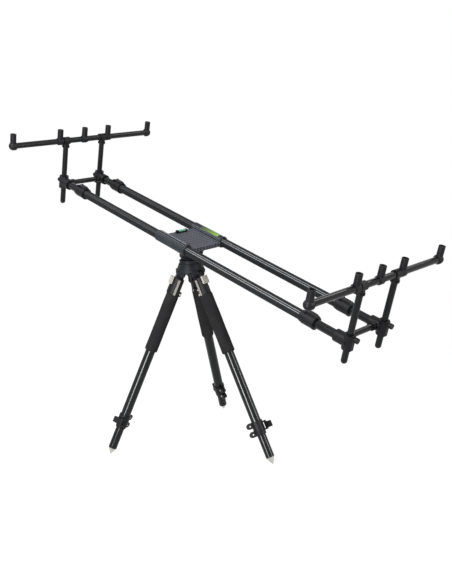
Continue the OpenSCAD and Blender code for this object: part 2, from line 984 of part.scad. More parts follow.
// A split collar that grips the upper tube and closes on the lower one
module leg_clamp(leg) {
    taper_s = clamp_end - clamp_taper;
    color(moulded_black)
        on_leg(leg)
            rotate([0, 0, clamp_turn])
                difference() {
                    union() {
                        down_leg(clamp_start, taper_s, clamp_d);
                        translate([0, 0, -clamp_end])
                            cylinder(h = clamp_taper, d1 = lower_d + 5, d2 = clamp_d);
                        for (s = [clamp_start, clamp_end - clamp_lobe_len])
                            translate([0, 0, -s - clamp_lobe_len / 2]) clamp_lobe();
                        clamp_knuckles();
                    }
                    down_leg(clamp_start - 1, leg_tube_end, leg_d + 2 * seat_gap);
                    down_leg(clamp_start, clamp_end + 1, lower_d + 2 * slide_gap);
                    translate([-clamp_lobe_reach - 1, -clamp_split / 2, -clamp_end - 1])
                        cube([clamp_lobe_reach, clamp_split, clamp_len + 2]);
                    translate([clamp_pin_x, clamp_pin_y, 0])
                        down_leg(clamp_start - 1, clamp_end + 1, clamp_pin_d + 2 * run_gap);
                }
}

// A round-ended lug that a screw passes through
module clamp_lobe() {
    round_x = clamp_lobe_reach - clamp_lobe_len / 2;
    translate([-round_x, -clamp_lobe_w / 2, -clamp_lobe_len / 2])
        cube([round_x, clamp_lobe_w, clamp_lobe_len]);
    translate([-round_x, 0, 0])
        along_y(-clamp_lobe_w / 2, clamp_lobe_w / 2, clamp_lobe_len);
}

// The two knuckles that hold the lever's pin
module clamp_knuckles() {
    for (s = [clamp_lever_s - clamp_lever_h / 2 - face_gap - clamp_knuckle_t,
              clamp_lever_s + clamp_lever_h / 2 + face_gap]) {
        translate([clamp_pin_x, clamp_pin_y, 0])
            down_leg(s, s + clamp_knuckle_t, 2 * clamp_knuckle_r);
        translate([0, clamp_pin_y - clamp_knuckle_r, -s - clamp_knuckle_t])
            cube([clamp_pin_x, 2 * clamp_knuckle_r, clamp_knuckle_t]);
    }
}

// A paddle with its pin, which closes across the face of its clamp
module clamp_lever(leg) {
    pin_reach = clamp_lever_h / 2 + face_gap + clamp_knuckle_t;
    eye_r = clamp_knuckle_r - 0.4;
    color(moulded_black)
        on_leg(leg)
            rotate([0, 0, clamp_turn])
                translate([clamp_pin_x, clamp_pin_y, 0])
                    rotate([0, 0, clamp_open[leg]]) {
                        translate([0, 0, -clamp_lever_s - clamp_lever_h / 2]) {
                            cylinder(h = clamp_lever_h, r = eye_r);
                            linear_extrude(clamp_lever_h) paddle_outline(eye_r - 0.1);
                        }
                        down_leg(clamp_lever_s - pin_reach, clamp_lever_s + pin_reach, clamp_pin_d);
                    }
}

// The paddle seen down the leg, from its pin: flat inside, with a turned-out tip
module paddle_outline(root_x) {
    polygon([[-root_x, 0],
             [-root_x, -clamp_paddle_l + 8],
             [-root_x + 2, -clamp_paddle_l],
             [-root_x + 2 + clamp_paddle_t, -clamp_paddle_l - 2],
             [-root_x + 1 + clamp_paddle_t, -clamp_paddle_l + 9],
             [root_x, 0]]);
}

module lower_leg(leg) {
    tube_end = leg_reach(leg) - spike_len;
    color(tube_black)
        on_leg(leg)
            difference() {
                down_leg(tube_end - lower_len, tube_end, lower_d);
                down_leg(tube_end - lower_len - 1, tube_end + 1, lower_d - 2 * lower_wall);
            }
}

module foot_spike(leg) {
    tube_end = leg_reach(leg) - spike_len;
    color(bright_steel)
        on_leg(leg) {
            translate([0, 0, -leg_reach(leg)])
                cylinder(h = spike_len, r1 = spike_tip_r, d2 = lower_d);
            down_leg(tube_end - spike_plug_len, tube_end, lower_d - 2 * lower_wall - 2 * seat_gap);
        }
}

// A tab with a groove that straddles the shoulder's guide; the crown's skirt stops it
module angle_tab(leg) {
    color(tab_grey)
        on_leg(leg)
            difference() {
                translate([tab_back_x, -tab_w / 2, -tab_start - tab_len])
                    cube([tab_t, tab_w, tab_len]);
                translate([tab_back_x - 1, -guide_w / 2 - face_gap, -tab_start - tab_len - 1])
                    cube([guide_x + guide_rise + 2 + face_gap - tab_back_x + 1,
                          guide_w + 2 * face_gap, tab_len + 2]);
            }
}

module back_leg_shoulder() {
    leg_shoulder(back_leg);
}

module back_leg_tube() {
    leg_tube(back_leg);
}

module back_foam_grip() {
    foam_grip(back_leg);
}

module back_leg_clamp() {
    leg_clamp(back_leg);
}

module back_clamp_lever() {
    clamp_lever(back_leg);
}

module back_lower_leg() {
    lower_leg(back_leg);
}

module back_foot_spike() {
    foot_spike(back_leg);
}

module back_angle_tab() {
    angle_tab(back_leg);
}

module left_leg_shoulder() {
    leg_shoulder(left_leg);
}

module left_leg_tube() {
    leg_tube(left_leg);
}

module left_foam_grip() {
    foam_grip(left_leg);
}

module left_leg_clamp() {
    leg_clamp(left_leg);
}

module left_clamp_lever() {
    clamp_lever(left_leg);
}

module left_lower_leg() {
    lower_leg(left_leg);
}

module left_foot_spike() {
    foot_spike(left_leg);
}

module left_angle_tab() {
    angle_tab(left_leg);
}

module right_leg_shoulder() {
    leg_shoulder(right_leg);
}

module right_leg_tube() {
    leg_tube(right_leg);
}

module right_foam_grip() {
    foam_grip(right_leg);
}

module right_leg_clamp() {
    leg_clamp(right_leg);
}

module right_clamp_lever() {
    clamp_lever(right_leg);
}

module right_lower_leg() {
    lower_leg(right_leg);
}

module right_foot_spike() {
    foot_spike(right_leg);
}

module right_angle_tab() {
    angle_tab(right_leg);
}

tripod_crown();
leg_pivot_bolts();
pan_lock_knob();
pan_head();
tilt_bolt();
tilt_lock_knob();
tilt_cradle();
platform_plate();
rail_channels();
level_holder();
level_vial();
near_rail();
far_rail();
rail_collars();
rear_near_lever();
rear_far_lever();
front_near_lever();
front_far_lever();
rear_extension_tubes();
rear_end_blocks();
rear_tie_bar();
front_extension_tubes();
front_end_blocks();
front_tie_bar();
rear_near_thumb_screw();
rear_far_thumb_screw();
front_near_thumb_screw();
front_far_thumb_screw();
rear_uprights();
rear_bar();
rear_bar_tees();
rear_rod_sockets();
front_uprights();
front_bar();
front_bar_tees();
front_rod_sockets();
back_leg_shoulder();
back_leg_tube();
back_foam_grip();
back_leg_clamp();
back_clamp_lever();
back_lower_leg();
back_foot_spike();
back_angle_tab();
left_leg_shoulder();
left_leg_tube();
left_foam_grip();
left_leg_clamp();
left_clamp_lever();
left_lower_leg();
left_foot_spike();
left_angle_tab();
right_leg_shoulder();
right_leg_tube();
right_foam_grip();
right_leg_clamp();
right_clamp_lever();
right_lower_leg();
right_foot_spike();
right_angle_tab();
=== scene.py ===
"""Looks of a rod pod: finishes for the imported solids, foam sleeves, trim and a plain studio."""

import json
import logging
import math
from dataclasses import dataclass
from enum import Enum

import bpy
import numpy as np
from mathutils import Matrix, Vector

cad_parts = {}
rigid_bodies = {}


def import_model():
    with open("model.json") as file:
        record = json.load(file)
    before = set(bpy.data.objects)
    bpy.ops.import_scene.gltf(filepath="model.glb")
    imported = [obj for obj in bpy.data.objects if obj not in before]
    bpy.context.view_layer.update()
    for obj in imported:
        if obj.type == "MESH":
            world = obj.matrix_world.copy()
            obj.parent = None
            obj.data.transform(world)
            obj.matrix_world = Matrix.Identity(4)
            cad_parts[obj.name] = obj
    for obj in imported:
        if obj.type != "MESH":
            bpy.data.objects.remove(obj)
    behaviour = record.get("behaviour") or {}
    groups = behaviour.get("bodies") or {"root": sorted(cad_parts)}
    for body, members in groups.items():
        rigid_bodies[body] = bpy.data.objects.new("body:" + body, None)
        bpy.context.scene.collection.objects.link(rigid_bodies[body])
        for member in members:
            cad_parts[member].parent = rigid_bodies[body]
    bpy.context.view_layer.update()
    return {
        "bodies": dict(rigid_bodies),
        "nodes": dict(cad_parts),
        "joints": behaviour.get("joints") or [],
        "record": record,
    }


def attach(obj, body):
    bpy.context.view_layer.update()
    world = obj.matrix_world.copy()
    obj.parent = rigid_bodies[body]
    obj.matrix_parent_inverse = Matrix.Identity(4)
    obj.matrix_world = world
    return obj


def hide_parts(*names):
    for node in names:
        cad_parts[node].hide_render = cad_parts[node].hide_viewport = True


Triple = tuple[float, float, float]
Pair = tuple[float, float]

LOG = logging.getLogger("rod_pod")
MM = 0.001
QUARTER = math.pi / 2
PHOTO_LONG_SIDE_PX = 584
SENSOR_MM = 36.0
# Edges that turn by more than this stay sharp
SHARP_ANGLE = math.radians(35)

# Rubbed and dusty patches: their spacing, and where in their noise wear and dullness set in and are full
PATCH_MM = 38.0
WORN_SPAN = (0.46, 0.72)
DULL_SPAN = (0.3, 0.7)
# A die's streaks are this many times longer than wide
DRAW_STRETCH = 60
# A wave node turns 20 radians over one unit, so this scale gives one wave a unit
WAVE_TURN = 2 * math.pi / 20
# Flutes round a rail, and how far from a flute's middle, in spacings, the painted highlight line on its ridge
# sets in and is full
FLUTES = 16
FLUTE_LINE = (0.28, 0.43)
# The painted highlight lines show on the rail's upper shoulders, by distance sideways plus upwards, and mostly
# ahead of the platform, fainter behind it
SHOULDER_MM = (15.6, 17.0)
HIGHLIGHT_AHEAD_MM = (20.0, 90.0)
HIGHLIGHT_BEHIND = 0.2

# Points on a quarter circle: a block's corner, its rim, a screw's rim and a foam sleeve's rim
CORNER_STEPS = 6
RIM_STEPS = 5
HEAD_STEPS = 6
FOAM_RIM_STEPS = 9
# Rings along a foam sleeve and points round it
FOAM_ROWS = 60
FOAM_TURNS = 72
# Points round a screw, a nut, an end ring and its section, across a strip and round the floor
SCREW_TURNS = 24
NUT_SIDES = 6
RING_TURNS = 64
RING_SECTION = 12
STRIP_STEPS = 20
FLOOR_SIDES = 96


def triple(values: np.ndarray) -> Triple:
    """Gives three array values as plain floats."""
    x, y, z = (float(v) for v in values)
    return x, y, z


def linear(hex_colour: str) -> tuple[float, float, float, float]:
    """Turns an sRGB hex colour to linear light.

    Args:
        hex_colour: Six hex digits after a hash sign.

    Returns:
        Red, green, blue and an alpha of 1.
    """
    srgb = np.array([int(hex_colour[i:i + 2], 16) for i in (1, 3, 5)]) / 255.0
    light = np.where(srgb <= 0.04045, srgb / 12.92, ((srgb + 0.055) / 1.055) ** 2.4)
    return (*triple(light), 1.0)


def add_node(tree: bpy.types.NodeTree, kind: str, settings: dict | None = None,
             links: dict | None = None) -> bpy.types.Node:
    """Adds a shader node, sets its inputs or properties and links its inputs.

    Args:
        tree: The material's or world's node tree.
        kind: The node's Blender type.
        settings: Values by input name or number, or by property name.
        links: Output sockets by the input that they feed.

    Returns:
        The new node.
    """
    node = tree.nodes.new(kind)
    for key, value in (settings or {}).items():
        if isinstance(key, str) and key not in node.inputs:
            setattr(node, key, value)
        else:
            node.inputs[key].default_value = value
    for key, socket in (links or {}).items():
        tree.links.new(socket, node.inputs[key])
    return node


class Texture(Enum):
    """How a surface was made, which sets the pattern that is drawn on it."""

    DIE_LINES = "drawn through a die, with faint lines along its length"
    # The pale lines on a fluted rail's upper flutes are painted highlights
    FLUTED = "drawn with flutes, the upper ones rubbed bright"
    MOULD_GRAIN = "moulded against a spark-eroded steel face"
    FOAM_CELLS = "cut closed-cell foam"
    TURNED = "turned in a lathe, with fine rings"
    BLASTED = "cast and bead-blasted"
    HATCHED = "embossed with a fine crossed hatch"
    POLISHED = "moulded clear against a polished face"
    FADING = "a printed film that fades from dark to light along its length"


# Values of each pattern at which its tint sets in and is full; a fading film's are metres along it
TINT_SPAN = {
    Texture.DIE_LINES: (0.55, 0.8),
    Texture.FLUTED: (0.0, 1.0),
    Texture.MOULD_GRAIN: (0.5, 0.85),
    Texture.FOAM_CELLS: (0.25, 0.75),
    Texture.TURNED: (0.4, 1.0),
    Texture.BLASTED: (0.5, 0.85),
    Texture.HATCHED: (0.55, 1.0),
    Texture.POLISHED: (0.5, 0.85),
    Texture.FADING: (-20 * MM, 36 * MM),
}


class Side(Enum):
    """Side of the pod, as the sign of Y."""

    NEAR = -1
    FAR = 1


class End(Enum):
    """End of the pod, as its pieces' names begin."""

    REAR = "rear"
    FRONT = "front"


@dataclass(frozen=True)
class Finish:
    """A finish: what the piece is made of and what its surface shows.

    Attributes:
        name: The material's common name and how it was made.
        colour: Main colour, as sRGB hex.
        worn: Colour of rubbed or dusty patches and of the pattern's marks, which on the rail are painted
            highlights, as sRGB hex.
        texture: The pattern on the surface.
        pitch_mm: Spacing of the pattern in millimetres: the real one, or the finest that shows.
        relief_mm: Height of the pattern.
        rough: Roughness in the smoothest and dullest places.
        metallic: Share of bare metal.
        specular: Strength of the surface gloss, 0.5 for most plastics.
        wear: Share of the worn colour in rubbed patches.
        marks: Share of the worn colour in the pattern; on the rail, its painted highlight lines.
        clear: Share of light that passes through.
    """

    name: str
    colour: str
    worn: str
    texture: Texture
    pitch_mm: float
    relief_mm: float
    rough: Pair
    metallic: float = 0.0
    specular: float = 0.5
    wear: float = 0.55
    marks: float = 0.6
    clear: float = 0.0

    def material(self, along: Triple = (0.0, 0.0, 1.0), about: Triple = (0.0, 0.0, 0.0)) -> bpy.types.Material:
        """Builds the material with its pattern laid along a direction.

        Args:
            along: Direction that the pattern's own Z follows, in the row frame.
            about: Point on the pattern's axis, in metres.

        Returns:
            The material, made once for each direction and point.
        """
        key = ",".join(f"{v:.3f}" for v in (*along, *about))
        name = f"{self.name} {key}"
        found = bpy.data.materials.get(name)
        if found:
            return found
        material = bpy.data.materials.new(name)
        material.use_nodes = True
        tree = material.node_tree
        tree.nodes.clear()
        turn = Vector(along).to_track_quat("Z", "Y").inverted()
        shift = -(turn @ Vector(about))
        place = add_node(tree, "ShaderNodeTexCoord")
        own = add_node(tree, "ShaderNodeMapping", {"Location": shift, "Rotation": turn.to_euler()},
                       {"Vector": place.outputs["Object"]})
        height, shade = self._pattern(tree, own.outputs["Vector"])
        first, full = TINT_SPAN[self.texture]
        tint = add_node(tree, "ShaderNodeMapRange", {"From Min": first, "From Max": full}, {"Value": shade})
        patches = add_node(tree, "ShaderNodeTexNoise",
                           {"Scale": 1 / (PATCH_MM * MM), "Detail": 5.0, "Roughness": 0.62},
                           {"Vector": own.outputs["Vector"]})
        worn = add_node(tree, "ShaderNodeMapRange",
                        {"From Min": WORN_SPAN[0], "From Max": WORN_SPAN[1], "To Max": self.wear},
                        {"Value": patches.outputs["Fac"]})
        mixed = add_node(tree, "ShaderNodeMath",
                         {"operation": "MULTIPLY_ADD", 1: self.marks, "use_clamp": True},
                         {0: tint.outputs["Result"], 2: worn.outputs["Result"]})
        colour = add_node(tree, "ShaderNodeMix",
                          {"data_type": "RGBA", 6: linear(self.colour), 7: linear(self.worn)},
                          {0: mixed.outputs["Value"]})
        rough = add_node(tree, "ShaderNodeMapRange",
                         {"From Min": DULL_SPAN[0], "From Max": DULL_SPAN[1],
                          "To Min": self.rough[0], "To Max": self.rough[1]},
                         {"Value": patches.outputs["Fac"]})
        bump = add_node(tree, "ShaderNodeBump", {"Strength": 1.0, "Distance": self.relief_mm * MM},
                        {"Height": height})
        shader = add_node(tree, "ShaderNodeBsdfPrincipled",
                          {"Metallic": self.metallic, "Specular IOR Level": self.specular,
                           "Transmission Weight": self.clear},
                          {"Base Color": colour.outputs[2], "Roughness": rough.outputs["Result"],
                           "Normal": bump.outputs["Normal"]})
        add_node(tree, "ShaderNodeOutputMaterial", links={"Surface": shader.outputs["BSDF"]})
        return material

    def _pattern(self, tree: bpy.types.NodeTree,
                 vector: bpy.types.NodeSocket) -> tuple[bpy.types.NodeSocket, bpy.types.NodeSocket]:
        """Adds the nodes of the surface's own pattern.

        Args:
            tree: The material's node tree.
            vector: Coordinates in metres, with Z along the pattern.

        Returns:
            The pattern's height, and the value that its tint follows.
        """
        per_m = 1 / (self.pitch_mm * MM)
        if self.texture is Texture.FLUTED:
            return self._flutes(tree, vector)
        if self.texture is Texture.DIE_LINES:
            drawn = add_node(tree, "ShaderNodeMapping", {"Scale": (per_m, per_m, per_m / DRAW_STRETCH)},
                             {"Vector": vector})
            lines = add_node(tree, "ShaderNodeTexNoise", {"Scale": 1.0, "Detail": 4.0, "Roughness": 0.7},
                             {"Vector": drawn.outputs["Vector"]})
            return lines.outputs["Fac"], lines.outputs["Fac"]
        if self.texture is Texture.FOAM_CELLS:
            cells = add_node(tree, "ShaderNodeTexVoronoi", {"Scale": per_m, "Randomness": 1.0},
                             {"Vector": vector})
            return cells.outputs["Distance"], cells.outputs["Distance"]
        if self.texture is Texture.TURNED:
            rings = add_node(tree, "ShaderNodeTexWave",
                             {"wave_type": "BANDS", "bands_direction": "Z", "Scale": per_m * WAVE_TURN,
                              "Distortion": 0.6, "Detail": 2.0}, {"Vector": vector})
            return rings.outputs["Fac"], rings.outputs["Fac"]
        if self.texture is Texture.HATCHED:
            # Lines two ways across the sheet: the higher of two waves shows
            waves = [add_node(tree, "ShaderNodeTexWave",
                              {"wave_type": "BANDS", "bands_direction": way, "Scale": per_m * WAVE_TURN,
                               "Distortion": 0.15}, {"Vector": vector}) for way in "XY"]
            both = add_node(tree, "ShaderNodeMath", {"operation": "MAXIMUM"},
                            {i: w.outputs["Fac"] for i, w in enumerate(waves)})
            return both.outputs["Value"], both.outputs["Value"]
        grain = add_node(tree, "ShaderNodeTexNoise", {"Scale": per_m, "Detail": 3.0, "Roughness": 0.55},
                         {"Vector": vector})
        if self.texture is Texture.FADING:
            part = add_node(tree, "ShaderNodeSeparateXYZ", links={"Vector": vector})
            return grain.outputs["Fac"], part.outputs["Z"]
        return grain.outputs["Fac"], grain.outputs["Fac"]

    @staticmethod
    def _flutes(tree: bpy.types.NodeTree,
                vector: bpy.types.NodeSocket) -> tuple[bpy.types.NodeSocket, bpy.types.NodeSocket]:
        """Adds a rail's lines: one on the ridge between two flutes, drawn pale on the two upper shoulders as a
        painted highlight.

        The angle round the rail, counted in flutes, is folded to the distance from a flute's middle.

        Args:
            tree: The material's node tree.
            vector: Coordinates in metres, with Z along the rail and Y up.

        Returns:
            The lines, and the share of each that is drawn as a painted highlight.
        """
        part = add_node(tree, "ShaderNodeSeparateXYZ", links={"Vector": vector})
        turn = add_node(tree, "ShaderNodeMath", {"operation": "ARCTAN2"},
                        {0: part.outputs["Y"], 1: part.outputs["X"]})
        step = add_node(tree, "ShaderNodeMath", {"operation": "MULTIPLY", 1: FLUTES / (2 * math.pi)},
                        {0: turn.outputs["Value"]})
        near = add_node(tree, "ShaderNodeMath", {"operation": "PINGPONG", 1: 0.5}, {0: step.outputs["Value"]})
        line = add_node(tree, "ShaderNodeMapRange", {"From Min": FLUTE_LINE[0], "From Max": FLUTE_LINE[1]},
                        {"Value": near.outputs["Value"]})
        aside = add_node(tree, "ShaderNodeMath", {"operation": "ABSOLUTE"}, {0: part.outputs["X"]})
        reach = add_node(tree, "ShaderNodeMath", {"operation": "ADD"},
                         {0: aside.outputs["Value"], 1: part.outputs["Y"]})
        shoulder = add_node(tree, "ShaderNodeMapRange",
                            {"From Min": SHOULDER_MM[0] * MM, "From Max": SHOULDER_MM[1] * MM},
                            {"Value": reach.outputs["Value"]})
        ahead = add_node(tree, "ShaderNodeMapRange",
                         {"From Min": HIGHLIGHT_AHEAD_MM[0] * MM, "From Max": HIGHLIGHT_AHEAD_MM[1] * MM,
                          "To Min": HIGHLIGHT_BEHIND}, {"Value": part.outputs["Z"]})
        # Painted highlight: the lines are drawn pale on the upper shoulders, mostly ahead of the platform
        rubbed = add_node(tree, "ShaderNodeMath", {"operation": "MULTIPLY"},
                          {0: shoulder.outputs["Result"], 1: ahead.outputs["Result"]})
        both = add_node(tree, "ShaderNodeMath", {"operation": "MULTIPLY"},
                        {0: line.outputs["Result"], 1: rubbed.outputs["Value"]})
        return line.outputs["Result"], both.outputs["Value"]


# Anodised aluminium tube: a deep satin black whose gloss runs in lines along the tube
TUBE = Finish("anodised tube", "#060708", "#0e0f11", Texture.DIE_LINES, 0.9, 0.004, (0.18, 0.23), specular=0.2)
# The same tube drawn with flutes 5 mm apart; the pale lines on the ridges of its upper shoulders are painted
# highlights
RAIL = Finish("fluted tube", "#0a0b0d", "#aeb0b3", Texture.FLUTED, 5.0, 0.0, (0.52, 0.6), specular=0.13,
              wear=0.0, marks=0.35)
# Die-cast aluminium under matt black powder: an even, faintly blue sheen
CASTING = Finish("powder-coated casting", "#0b0e11", "#15191d", Texture.BLASTED, 1.1, 0.05, (0.46, 0.6),
                 specular=0.11)
# The same powder on the channels, which hands have rubbed a shade lighter
CHANNEL = Finish("handled casting", "#15191d", "#20252a", Texture.BLASTED, 1.1, 0.04, (0.44, 0.58),
                 specular=0.13)
# Glass-filled nylon: a dry black with a fine sparkle of mould grain
NYLON = Finish("moulded nylon", "#0a0a0c", "#141517", Texture.MOULD_GRAIN, 1.4, 0.06, (0.36, 0.52),
               specular=0.12)
# Closed-cell foam: takes nearly all light, and the cut cells break up what is left
FOAM = Finish("closed-cell foam", "#0e0e0f", "#1a1a1b", Texture.FOAM_CELLS, 1.5, 0.22, (0.86, 0.97),
              specular=0.08)
# Turned steel: bright, with rings round the cone, drawn at 5 mm so that they show
STEEL = Finish("turned steel", "#c3c2bd", "#9a9892", Texture.TURNED, 5.0, 0.015, (0.24, 0.38), metallic=1.0)
# Blacked steel: a dull black on the bolts that the hinges turn on, its rings drawn as coarse
BLACKED = Finish("blacked steel", "#0d0d0f", "#191a1c", Texture.TURNED, 5.0, 0.01, (0.42, 0.52), specular=0.2)
# Bead-blasted cast aluminium: a pale grey with no clear reflection
TAB = Finish("blasted casting", "#7e7b75", "#6e6b65", Texture.BLASTED, 1.2, 0.02, (0.6, 0.7), specular=0.1,
             wear=0.3, marks=0.15)
# Slate-grey sheet with a fine embossed hatch, drawn at 11 mm so that it shows
SLATE = Finish("hatched slate sheet", "#1f2127", "#41434b", Texture.HATCHED, 11.0, 0.06, (0.6, 0.72),
               specular=0.25, wear=0.3, marks=0.8)
# The channels' ridges, a shade lighter than the casting
RIDGE = Finish("lighter ridge casting", "#34383e", "#4a4e55", Texture.DIE_LINES, 0.8, 0.01, (0.4, 0.5), specular=0.3)
# Painted highlight: pale flat bars on the legs' tops, a soft grey with lines along them
FLAT_HIGHLIGHT = Finish("painted flat highlight", "#676560", "#575551", Texture.DIE_LINES, 0.6, 0.005, (0.55, 0.65),
               specular=0.1, wear=0.3, marks=0.15)
# A painted highlight: a pale grey strip along the near channel's top ridge
RIDGE_HIGHLIGHT = Finish("painted ridge highlight", "#6e7073", "#606265", Texture.DIE_LINES, 0.6, 0.005, (0.55, 0.65), specular=0.1,
              wear=0.3, marks=0.15)
# Zinc-plated screws: pale, with a soft shine, their rings drawn as coarse as the steel's
ZINC = Finish("zinc-plated steel", "#989690", "#7c7a74", Texture.TURNED, 5.0, 0.01, (0.42, 0.52), metallic=0.5)
# A plain printed film, dark green that fades to yellow-green, with a soft gloss
GREEN_FILM = Finish("green film", "#26331b", "#567429", Texture.FADING, 2.0, 0.01, (0.34, 0.46),
                    specular=0.25, wear=0.0, marks=1.0)
# Acrylic vial with green liquid: clear enough to show a little depth
VIAL = Finish("tinted acrylic", "#69a488", "#86b9a0", Texture.POLISHED, 3.0, 0.005, (0.2, 0.28), specular=0.3,
              clear=0.35)


@dataclass(frozen=True)
class Placement:
    """A frame in the row frame: an origin in millimetres and three axes."""

    origin: np.ndarray
    axes: np.ndarray

    def place(self, points: np.ndarray) -> np.ndarray:
        """Gives row-frame metres for points in this frame's millimetres."""
        return (self.origin + points @ self.axes) * MM

    def metres(self) -> Triple:
        """Gives the origin in row-frame metres."""
        return triple(self.origin * MM)

    def at(self, x: float, y: float, z: float) -> "Placement":
        """Gives the same axes with the origin moved within this frame."""
        return Placement(self.origin + np.array([x, y, z]) @ self.axes, self.axes)

    def turned(self, degrees: float) -> "Placement":
        """Gives this frame turned about its own Z."""
        c, s = math.cos(math.radians(degrees)), math.sin(math.radians(degrees))
        return Placement(self.origin, np.array([[c, s, 0], [-s, c, 0], [0, 0, 1]]) @ self.axes)

    def facing(self, z: Triple) -> "Placement":
        """Turns this frame so that its Z lies along a direction.

        Args:
            z: The direction, in this frame.

        Returns:
            The turned frame, with its X level where it can be.
        """
        up = np.array(z, float) / np.linalg.norm(z)
        upright = abs(up[2]) >= 0.9
        side = np.cross([1, 0, 0] if upright else [0, 0, 1], up)
        side /= np.linalg.norm(side)
        return Placement(self.origin, np.array([side, np.cross(up, side), up]) @ self.axes)


@dataclass
class Shape:
    """Points in millimetres and the faces that join them."""

    points: np.ndarray
    faces: list[list[int]]

    def placed(self, frame: Placement) -> "Shape":
        """Gives this shape in row-frame metres."""
        return Shape(frame.place(self.points), self.faces)

    @staticmethod
    def joined(shapes: list["Shape"]) -> "Shape":
        """Puts several shapes into one, each still closed by itself.

        Args:
            shapes: Shapes in the same frame.

        Returns:
            All their points, and their faces renumbered to match.
        """
        starts = np.cumsum([0] + [len(s.points) for s in shapes[:-1]]).tolist()
        faces = [[i + n for i in face] for s, n in zip(shapes, starts) for face in s.faces]
        return Shape(np.concatenate([s.points for s in shapes]), faces)


def stacked(rings: np.ndarray, wrap: bool = False) -> Shape:
    """Joins closed rings of points to their neighbours: ring i, point j meets i + 1 and j + 1.

    Args:
        rings: Points by ring and by place in the ring, which turns left about its way up.
        wrap: Whether the last ring joins the first.

    Returns:
        A closed shape: ends that aren't wrapped are closed with a flat face.
    """
    rows, columns = rings.shape[:2]
    i, j = np.meshgrid(np.arange(rows if wrap else rows - 1), np.arange(columns), indexing="ij")
    up, on = (i + 1) % rows, (j + 1) % columns
    corners = [i * columns + j, i * columns + on, up * columns + on, up * columns + j]
    faces = np.stack(corners, axis=-1).reshape(-1, 4).tolist()
    if not wrap:
        last = (rows - 1) * columns
        faces += [list(range(columns))[::-1], list(range(last, last + columns))]
    return Shape(rings.reshape(-1, 3), faces)


def lathe(profile: np.ndarray, turns: int, wrap: bool = False, swell: np.ndarray | None = None) -> Shape:
    """Turns a profile about Z: a point at angle a is (r cos a, r sin a, h).

    Args:
        profile: Radius and height of each ring, rising along the outside.
        turns: Points round a ring.
        wrap: Whether the profile is a closed loop, as a sleeve's is.
        swell: Radius to add at each ring and angle.

    Returns:
        The closed shape.
    """
    angle = np.linspace(0, 2 * math.pi, turns, endpoint=False)
    radius = profile[:, :1] + (0 if swell is None else swell)
    rings = np.stack([radius * np.cos(angle), radius * np.sin(angle),
                      np.broadcast_to(profile[:, 1:], (len(profile), turns))], axis=-1)
    return stacked(rings, wrap)


def loft(outline: np.ndarray, levels: np.ndarray, shrink: np.ndarray) -> Shape:
    """Carries an outline up through levels, drawn in towards its middle at each.

    Args:
        outline: Points round the outline, anticlockwise.
        levels: Heights.
        shrink: Distance that the outline is drawn in at each height.

    Returns:
        The closed shape.
    """
    middle = outline.mean(0)
    reach = np.abs(outline - middle).max(0)
    scale = 1 - shrink[:, None, None] / reach
    flat = middle + (outline - middle) * scale
    heights = np.broadcast_to(levels[:, None, None], (*flat.shape[:2], 1))
    return stacked(np.concatenate([flat, heights], axis=-1))


def rounded_box(width: float, depth: float, height: float, corner: float, edge: float) -> Shape:
    """Makes a block on its lower face: a rounded rectangle whose rims are eased by a quarter circle.

    Args:
        width: Size along X.
        depth: Size along Y.
        height: Size along Z.
        corner: Radius of the upright corners.
        edge: Radius of the eased rims.

    Returns:
        The closed block.
    """
    turn = np.linspace(0, QUARTER, CORNER_STEPS)[None, :] + QUARTER * np.arange(4)[:, None]
    centres = np.array([[1, 1], [-1, 1], [-1, -1], [1, -1]]) * [width / 2 - corner, depth / 2 - corner]
    arcs = centres[:, None, :] + corner * np.stack([np.cos(turn), np.sin(turn)], -1)
    outline = arcs.reshape(-1, 2)
    ease = np.linspace(0, QUARTER, RIM_STEPS)
    low = edge * (1 - np.sin(ease))
    levels = np.concatenate([low, height - low[::-1]])
    draw = edge * (1 - np.cos(ease))
    order = np.argsort(levels, kind="stable")
    return loft(outline, levels[order], np.concatenate([draw, draw[::-1]])[order])


def screw_head(radius: float, height: float, edge: float) -> Shape:
    """Makes a screw's head: an upright wall, then a quarter circle to its flat top, turned about Z.

    Args:
        radius: Radius of the wall.
        height: Height of the head.
        edge: Radius of the rim.

    Returns:
        The closed head.
    """
    ease = np.linspace(0, QUARTER, HEAD_STEPS)
    rim = np.stack([radius - edge + edge * np.cos(ease), height - edge + edge * np.sin(ease)], -1)
    return lathe(np.concatenate([[[radius, 0.0]], rim]), SCREW_TURNS)


def make_piece(name: str, shape: Shape, material: bpy.types.Material, body: str) -> bpy.types.Object:
    """Makes a mesh object at the origin that rides on a body.

    Args:
        name: The piece's name.
        shape: Points in row-frame metres.
        material: Its finish.
        body: CAD body that it moves with.

    Returns:
        The new object.
    """
    mesh = bpy.data.meshes.new(name)
    mesh.from_pydata(shape.points.tolist(), [], shape.faces)
    mesh.materials.append(material)
    mesh.shade_smooth()
    mesh.set_sharp_from_angle(angle=SHARP_ANGLE)
    piece = bpy.data.objects.new(name, mesh)
    bpy.context.scene.collection.objects.link(piece)
    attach(piece, body)
    return piece


def paint(node: bpy.types.Object, material: bpy.types.Material) -> None:
    """Puts one material in all of a CAD object's material slots.

    Args:
        node: The CAD object.
        material: Its finish.
    """
    if not node.material_slots:
        node.data.materials.append(material)
    for place in node.material_slots:
        place.material = material


class SubAssembly:
    """Pieces and CAD nodes that are built and dressed together."""

    def build(self) -> list[bpy.types.Object]:
        """Builds the pieces that the solids lack, which here is none."""
        return []

    def finishes(self) -> dict[str, bpy.types.Material]:
        """Gives each CAD node's material by the node's name, which here is none."""
        return {}

    def dress(self, nodes: dict[str, bpy.types.Object]) -> dict[str, bpy.types.Material]:
        """Puts the materials on the CAD nodes.

        Args:
            nodes: CAD objects by name.

        Returns:
            The materials by node.
        """
        finishes = self.finishes()
        for name, material in finishes.items():
            paint(nodes[name], material)
        return finishes


